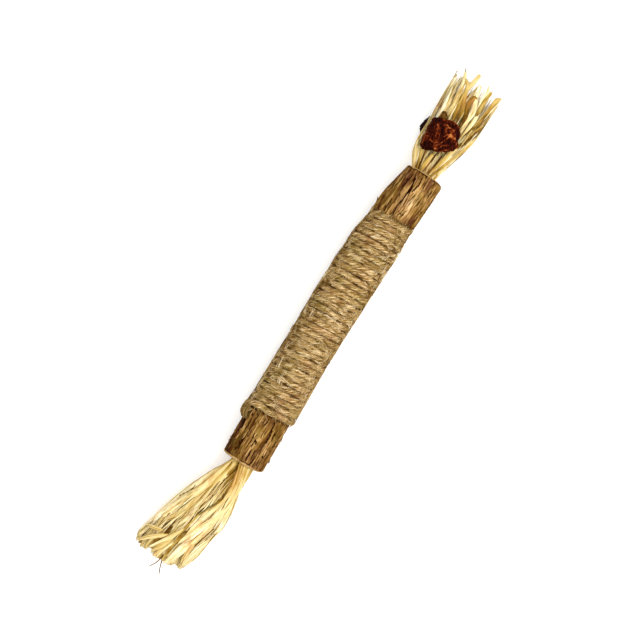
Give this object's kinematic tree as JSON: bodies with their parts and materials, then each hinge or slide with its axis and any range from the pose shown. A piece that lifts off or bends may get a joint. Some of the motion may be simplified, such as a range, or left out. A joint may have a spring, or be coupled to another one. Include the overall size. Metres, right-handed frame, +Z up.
{
  "type": "silvervine stick",
  "caption": "Cat chew toy: a short length of silvervine branch wound with jute twine, with a raffia tassel in each end and dried gall fruits glued to one tassel.",
  "frame": {"origin": "on the surface that the stick lies on, where the twine rests, under the middle of the stick", "axes": "+X along the stick towards the tassel with the gall fruits, +Z up from the surface"},
  "size_m": [0.2111, 0.0296, 0.0213],
  "materials": {
    "bark": "dry, fissured brown bark with grey and red-brown patches, matt",
    "jute": "hairy natural jute twine, laid turn against turn, matt",
    "raffia": "dry straw-coloured raffia strips with a faint sheen",
    "gall": "dried, wrinkled dark red-brown fruit skin"
  },
  "bodies": {
    "root": {"silvervine_stick": "bark", "jute_winding": "jute", "raffia_tassel_plain": "raffia", "raffia_tassel_with_galls": "raffia", "gall_fruit_upper": "gall", "gall_fruit_lower": "gall"}
  },
  "joints": []
}
